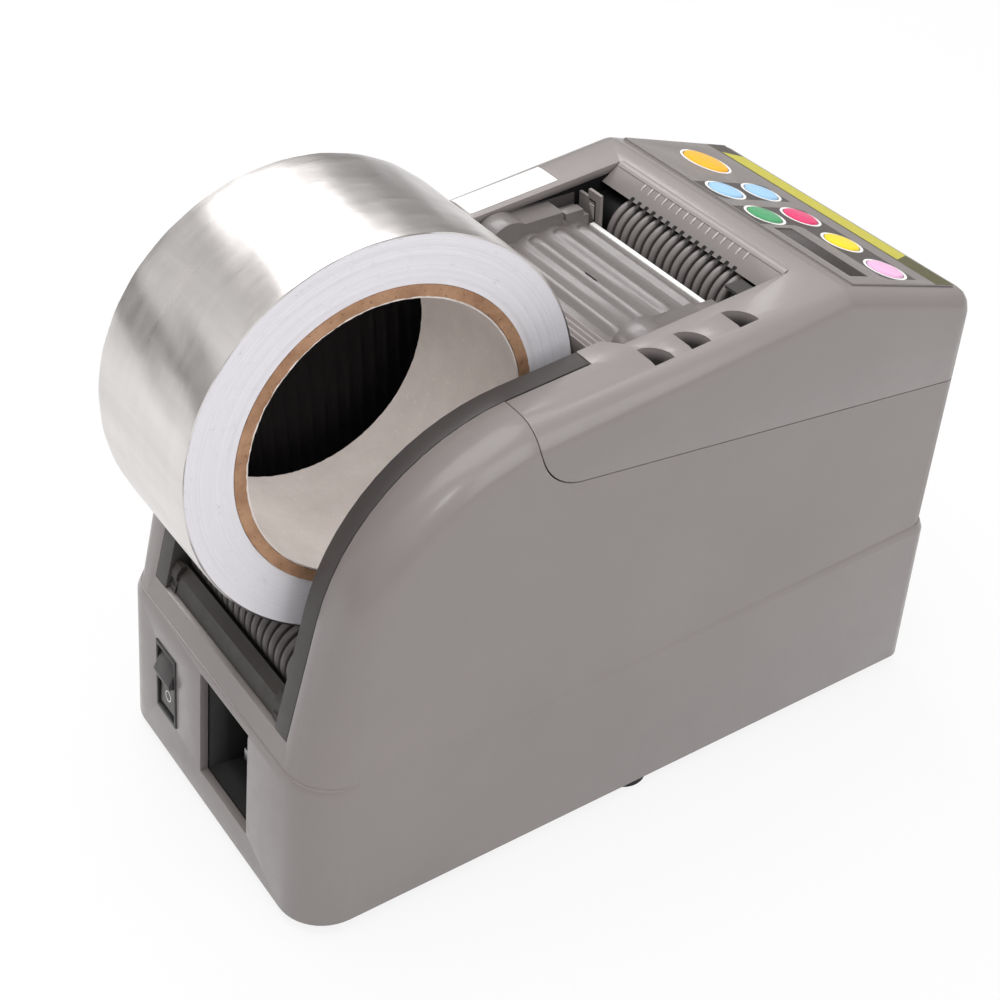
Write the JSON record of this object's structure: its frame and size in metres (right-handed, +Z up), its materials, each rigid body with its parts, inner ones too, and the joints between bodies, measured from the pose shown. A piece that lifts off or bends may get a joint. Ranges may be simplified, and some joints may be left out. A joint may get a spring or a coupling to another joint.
{
  "type": "electric tape dispenser",
  "caption": "Desktop electric tape dispenser with a moulded hump case, an open roll bay, motor-driven feed rollers, a lifting press lever, a guillotine cutter and a sloping key panel.",
  "frame": {"origin": "on the table, under the middle of the dispenser and its loaded roll", "axes": "+X across, the key panel at -Y, the tape roll at +Y, +Z up"},
  "size_m": [0.1174, 0.2302, 0.188],
  "materials": {
    "case_plastic": "satin",
    "frame_plastic": "satin",
    "rubber": "matte",
    "steel": "brushed",
    "blade_steel": "polished",
    "alloy": "satin",
    "brass": "satin",
    "gear_plastic": "satin",
    "overlay": "satin",
    "display": "gloss",
    "board": "satin",
    "black_plastic": "satin",
    "foil": "satin",
    "cardboard": "matte",
    "orange": "satin",
    "blue": "satin",
    "green": "satin",
    "red": "satin",
    "yellow": "satin",
    "lilac": "satin"
  },
  "bodies": {
    "case": {"lower_case": "case_plastic", "top_cover": "case_plastic", "base_plate": "frame_plastic", "rubber_feet": "rubber", "base_screws": "steel", "left_bay_frame": "frame_plastic", "right_bay_frame": "frame_plastic", "bay_tray": "frame_plastic", "entry_bridge": "case_plastic", "comb_plate": "case_plastic", "left_feed_plate": "steel", "right_feed_plate": "steel", "shaft_bushes": "brass", "roller_axles": "steel", "hinge_pins": "steel", "guide_axle": "steel", "panel_overlay": "overlay", "display_window": "display", "key_board": "board", "switch_frame": "black_plastic", "inlet_housing": "black_plastic", "inlet_pins": "steel", "main_board": "board", "power_supply": "alloy", "feed_motor": "steel", "cutter_motor": "steel", "cutter_bracket": "steel", "idler_stud": "steel", "blade_block": "alloy", "fixed_blade": "blade_steel", "guide_rods": "steel", "exit_guide": "frame_plastic", "tape_sensor": "black_plastic"},
    "tape_roll": {"tape_winding": "foil", "tape_core": "cardboard"},
    "rear_support": {"rear_support_roller": "frame_plastic"},
    "front_support": {"front_support_roller": "frame_plastic"},
    "lever": {"press_lever": "case_plastic", "lever_edge_bar": "blade_steel"},
    "guide": {"guide_roller": "frame_plastic"},
    "upper_feed": {"upper_feed_roller": "frame_plastic", "upper_feed_shaft": "steel", "upper_roller_gear": "gear_plastic"},
    "lower_feed": {"lower_feed_roller": "rubber", "lower_feed_shaft": "steel", "lower_roller_gear": "gear_plastic", "drive_gear": "gear_plastic"},
    "idler": {"idler_gear": "gear_plastic"},
    "pinion": {"motor_pinion": "brass"},
    "cutter": {"blade_carriage": "alloy", "moving_blade": "blade_steel"},
    "crank": {"crank_disc": "brass"},
    "rocker": {"power_rocker": "black_plastic"},
    "large_key": {"key_large": "orange"},
    "blue_rear_key": {"key_blue_rear": "blue"},
    "blue_front_key": {"key_blue_front": "blue"},
    "green_key": {"key_green": "green"},
    "red_key": {"key_red": "red"},
    "yellow_key": {"key_yellow": "yellow"},
    "lilac_key": {"key_lilac": "lilac"}
  },
  "joints": [
    {"name": "roll_spin", "type": "hinge", "parent": "case", "child": "tape_roll", "pos_m": [0, 0.05775, 0.1306], "axis": [1, 0, 0], "continuous": true},
    {"name": "rear_support_spin", "type": "hinge", "parent": "case", "child": "rear_support", "pos_m": [0, 0.08291, 0.06834], "axis": [1, 0, 0], "continuous": true},
    {"name": "front_support_spin", "type": "hinge", "parent": "case", "child": "front_support", "pos_m": [0, 0.03259, 0.06834], "axis": [1, 0, 0], "continuous": true},
    {"name": "feed_spin", "type": "hinge", "parent": "case", "child": "lower_feed", "pos_m": [0, -0.0559, 0.1152], "axis": [1, 0, 0], "continuous": true},
    {"name": "upper_feed_spin", "type": "hinge", "parent": "case", "child": "upper_feed", "pos_m": [0, -0.0559, 0.1345], "axis": [1, 0, 0], "continuous": true},
    {"name": "idler_spin", "type": "hinge", "parent": "case", "child": "idler", "pos_m": [0, -0.04667, 0.08983], "axis": [1, 0, 0], "continuous": true},
    {"name": "pinion_spin", "type": "hinge", "parent": "case", "child": "pinion", "pos_m": [0, -0.04667, 0.06883], "axis": [1, 0, 0], "continuous": true},
    {"name": "guide_spin", "type": "hinge", "parent": "case", "child": "guide", "pos_m": [0, -0.0195, 0.12945], "axis": [1, 0, 0], "continuous": true},
    {"name": "lever_lift", "type": "hinge", "parent": "case", "child": "lever", "pos_m": [0, -0.0155, 0.1363], "axis": [-1, 0, 0], "range_deg": [0, 45]},
    {"name": "blade_stroke", "type": "slide", "parent": "case", "child": "cutter", "axis": [0, 0, -1], "range_m": [0, 0.00707]},
    {"name": "crank_turn", "type": "hinge", "parent": "case", "child": "crank", "pos_m": [0.015, -0.0879, 0.08085], "axis": [-1, 0, 0], "range_deg": [0, 90]},
    {"name": "rocker_tilt", "type": "hinge", "parent": "case", "child": "rocker", "pos_m": [0.0276, 0.10439, 0.02955], "axis": [-1, 0, 0], "range_deg": [0, 20]},
    {"name": "large_key_press", "type": "slide", "parent": "case", "child": "large_key", "axis": [0, 0.3137, -0.9495], "range_m": [0, 0.0005], "stiffness_N_per_m": 400},
    {"name": "blue_rear_key_press", "type": "slide", "parent": "case", "child": "blue_rear_key", "axis": [0, 0.3137, -0.9495], "range_m": [0, 0.0005], "stiffness_N_per_m": 400},
    {"name": "blue_front_key_press", "type": "slide", "parent": "case", "child": "blue_front_key", "axis": [0, 0.3137, -0.9495], "range_m": [0, 0.0005], "stiffness_N_per_m": 400},
    {"name": "green_key_press", "type": "slide", "parent": "case", "child": "green_key", "axis": [0, 0.3137, -0.9495], "range_m": [0, 0.0005], "stiffness_N_per_m": 400},
    {"name": "red_key_press", "type": "slide", "parent": "case", "child": "red_key", "axis": [0, 0.3137, -0.9495], "range_m": [0, 0.0005], "stiffness_N_per_m": 400},
    {"name": "yellow_key_press", "type": "slide", "parent": "case", "child": "yellow_key", "axis": [0, 0.3137, -0.9495], "range_m": [0, 0.0005], "stiffness_N_per_m": 400},
    {"name": "lilac_key_press", "type": "slide", "parent": "case", "child": "lilac_key", "axis": [0, 0.3137, -0.9495], "range_m": [0, 0.0005], "stiffness_N_per_m": 400}
  ],
  "couplings": [
    {"joint": "rear_support_spin", "follows": "roll_spin", "ratio": -6.0368},
    {"joint": "front_support_spin", "follows": "roll_spin", "ratio": -6.0368},
    {"joint": "upper_feed_spin", "follows": "feed_spin", "ratio": -1},
    {"joint": "idler_spin", "follows": "feed_spin", "ratio": -0.8},
    {"joint": "pinion_spin", "follows": "feed_spin", "ratio": 2},
    {"joint": "crank_turn", "follows": "blade_stroke", "rad_per_m": 222.14}
  ]
}
